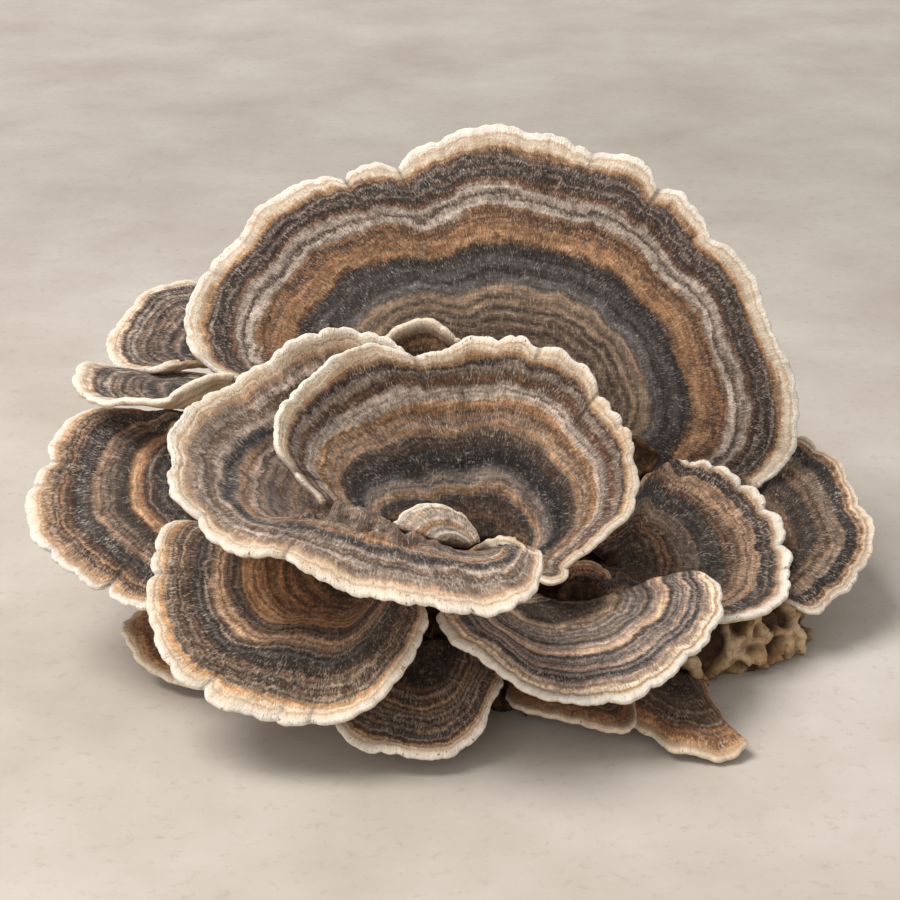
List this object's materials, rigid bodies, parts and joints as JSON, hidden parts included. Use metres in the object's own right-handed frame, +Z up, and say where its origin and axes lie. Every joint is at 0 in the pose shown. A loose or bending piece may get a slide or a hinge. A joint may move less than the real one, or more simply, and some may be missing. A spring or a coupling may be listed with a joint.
{
  "type": "turkey tail fungus",
  "caption": "Rosette of thin, leathery, banded bracket caps with scalloped pale margins, grown together on one gnarled base that is cut off flat underneath.",
  "frame": {"origin": "middle of the whole cluster's box, on the surface that it stands on", "axes": "+X to the right along the cluster's length, the large caps open towards -Y, +Z up"},
  "size_m": [0.1378, 0.0988, 0.0754],
  "materials": {
    "cap_skin": "matt, velvety, in narrow bands of brown, ochre, charcoal and blue-grey with a cream margin",
    "base_tissue": "matt, gnarled cream and tan tissue with dark folds"
  },
  "bodies": {
    "root": {"cap_back": "cap_skin", "cap_centre": "cap_skin", "cap_swirl": "cap_skin", "cap_bud_top": "cap_skin", "cap_bud_inner": "cap_skin", "cap_left": "cap_skin", "cap_left_upper": "cap_skin", "cap_left_edge": "cap_skin", "cap_front_left": "cap_skin", "cap_front_low": "cap_skin", "cap_front_right": "cap_skin", "cap_right": "cap_skin", "cap_far_right": "cap_skin", "cap_low_left": "cap_skin", "cap_low_middle": "cap_skin", "cap_low_right": "cap_skin", "cap_curl": "cap_skin", "cap_rear_left": "cap_skin", "cap_rear_right": "cap_skin", "cap_rear_low": "cap_skin", "base": "base_tissue"}
  },
  "joints": []
}
